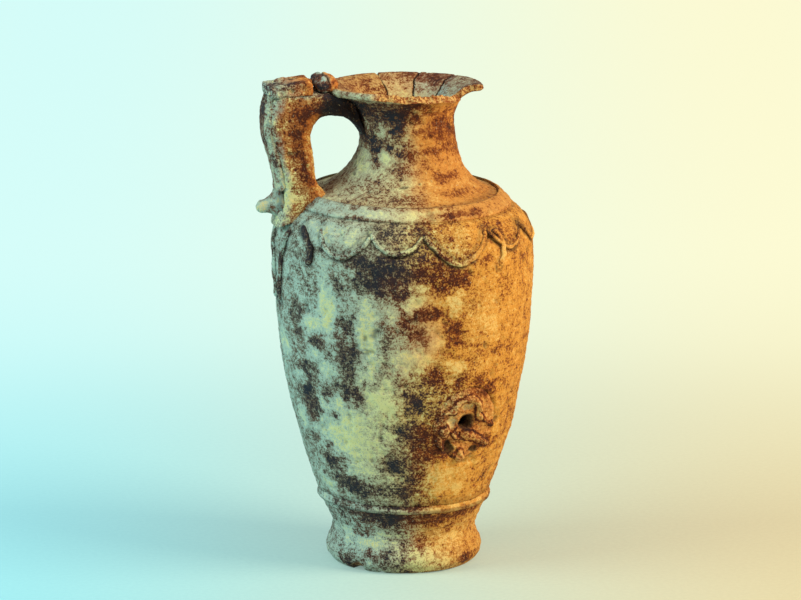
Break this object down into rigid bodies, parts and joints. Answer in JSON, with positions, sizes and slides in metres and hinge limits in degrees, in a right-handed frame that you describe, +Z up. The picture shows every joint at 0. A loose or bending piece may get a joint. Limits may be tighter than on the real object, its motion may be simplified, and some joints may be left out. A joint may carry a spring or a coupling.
{
  "type": "oinochoe jug",
  "caption": "Clay wine jug with ring foot, ovoid body, collared neck, mended trumpet mouth, high strap handle with thumb plate and spur, and a relief garland round the shoulder.",
  "frame": {"origin": "middle of the foot's resting ring, on the table", "axes": "+Z up along the jug's axis, the handle at -X, the mouth pours towards +X"},
  "size_m": [0.1347, 0.1241, 0.2385],
  "materials": {
    "body_clay": "matt buff clay with cream crust and dark mottling",
    "foot_clay": "matt buff clay, rubbed on the edges",
    "neck_clay": "matt ochre clay with turning marks",
    "mended_lip_clay": "matt ochre clay, cracked at the mends",
    "handle_clay": "matt brown clay, granular",
    "garland_clay": "matt buff clay, pressed on by hand",
    "scar_clay": "rough broken clay"
  },
  "bodies": {
    "root": {"body": "body_clay", "foot": "foot_clay", "foot_coil": "foot_clay", "handle_back_strip": "handle_clay", "handle_core": "handle_clay", "handle_spur": "handle_clay", "handle_top_plate": "handle_clay", "lip_sherd_far": "mended_lip_clay", "lip_sherd_far_right": "mended_lip_clay", "lip_sherd_right": "mended_lip_clay", "neck": "neck_clay", "relief_stump": "scar_clay", "ribbon_far_back": "garland_clay", "ribbon_far_front": "garland_clay", "ribbon_far_handle": "garland_clay", "ribbon_near_back": "garland_clay", "ribbon_near_front": "garland_clay", "ribbon_near_handle": "garland_clay", "rim_roll": "handle_clay", "shoulder_collar": "neck_clay", "swag_01": "garland_clay", "swag_02": "garland_clay", "swag_03": "garland_clay", "swag_04": "garland_clay", "swag_05": "garland_clay", "swag_06": "garland_clay", "swag_07": "garland_clay", "swag_08": "garland_clay", "swag_09": "garland_clay", "swag_10": "garland_clay", "swag_11": "garland_clay"}
  },
  "joints": []
}
